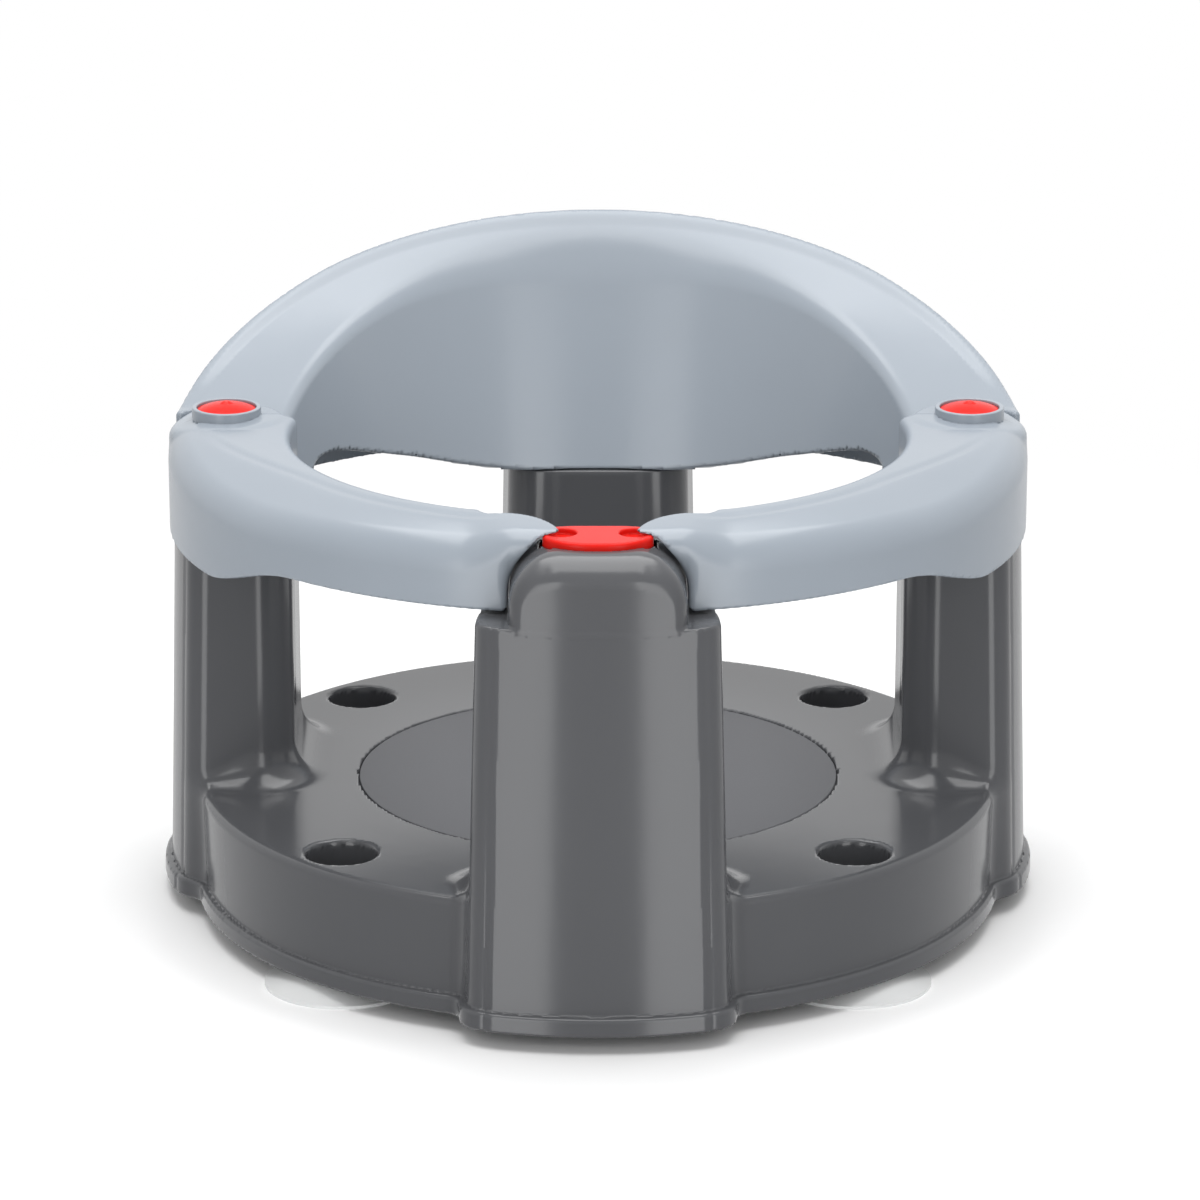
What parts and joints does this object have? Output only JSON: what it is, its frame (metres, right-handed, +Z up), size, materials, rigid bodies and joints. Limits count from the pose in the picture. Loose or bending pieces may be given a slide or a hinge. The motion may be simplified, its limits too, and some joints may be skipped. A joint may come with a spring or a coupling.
{
  "type": "baby bath seat",
  "caption": "Free-standing baby bath seat: hollow base with posts, suction cups, curved backrest and a ring of two arms that swing open from a press latch at the front",
  "frame": {"origin": "on the bath floor below the middle of the deck", "axes": "+Z up, +Y towards the backrest, +X to the right seen from the front"},
  "size_m": [0.3586, 0.3586, 0.2494],
  "materials": {
    "base_plastic": "glossy moulded dark grey",
    "ring_plastic": "glossy moulded light blue-grey",
    "red_plastic": "glossy red",
    "inner_plastic": "natural white, unpainted",
    "pad_rubber": "matte, non-slip",
    "cup_rubber": "milky, translucent",
    "steel": "stainless"
  },
  "bodies": {
    "base": {"base_tub": "base_plastic", "seat_pad": "pad_rubber", "suction_cup_front_left": "cup_rubber", "suction_cup_front_right": "cup_rubber", "suction_cup_rear_left": "cup_rubber", "suction_cup_rear_right": "cup_rubber", "backrest_shell": "ring_plastic", "backrest_screws": "steel", "latch_guide": "inner_plastic", "guide_screws": "steel", "latch_spring": "steel", "pivot_bush_left": "inner_plastic", "pivot_bush_right": "inner_plastic", "pivot_washer_left": "steel", "pivot_washer_right": "steel", "pivot_screw_left": "steel", "pivot_screw_right": "steel"},
    "latch": {"latch_button": "red_plastic", "latch_retainer": "steel"},
    "arm_body_left": {"arm_left": "ring_plastic", "arm_cover_left": "ring_plastic", "button_spring_left": "steel"},
    "release_left": {"release_button_left": "red_plastic"},
    "arm_body_right": {"arm_right": "ring_plastic", "arm_cover_right": "ring_plastic", "button_spring_right": "steel"},
    "release_right": {"release_button_right": "red_plastic"}
  },
  "joints": [
    {"name": "arm_left_swing", "type": "hinge", "parent": "base", "child": "arm_body_left", "pos_m": [-0.1505, 0.022, 0.165], "axis": [0, 0, 1], "range_deg": [-50, 0]},
    {"name": "arm_right_swing", "type": "hinge", "parent": "base", "child": "arm_body_right", "pos_m": [0.1505, 0.022, 0.165], "axis": [0, 0, 1], "range_deg": [0, 50]},
    {"name": "latch_press", "type": "slide", "parent": "base", "child": "latch", "axis": [0, 0, -1], "range_m": [0, 0.005], "stiffness_N_per_m": 900, "springref_m": -0.002, "deforming": ["latch_spring"]},
    {"name": "release_left_press", "type": "slide", "parent": "arm_body_left", "child": "release_left", "axis": [0, 0, -1], "range_m": [0, 0.003], "stiffness_N_per_m": 700, "springref_m": -0.002, "deforming": ["button_spring_left"]},
    {"name": "release_right_press", "type": "slide", "parent": "arm_body_right", "child": "release_right", "axis": [0, 0, -1], "range_m": [0, 0.003], "stiffness_N_per_m": 700, "springref_m": -0.002, "deforming": ["button_spring_right"]}
  ]
}
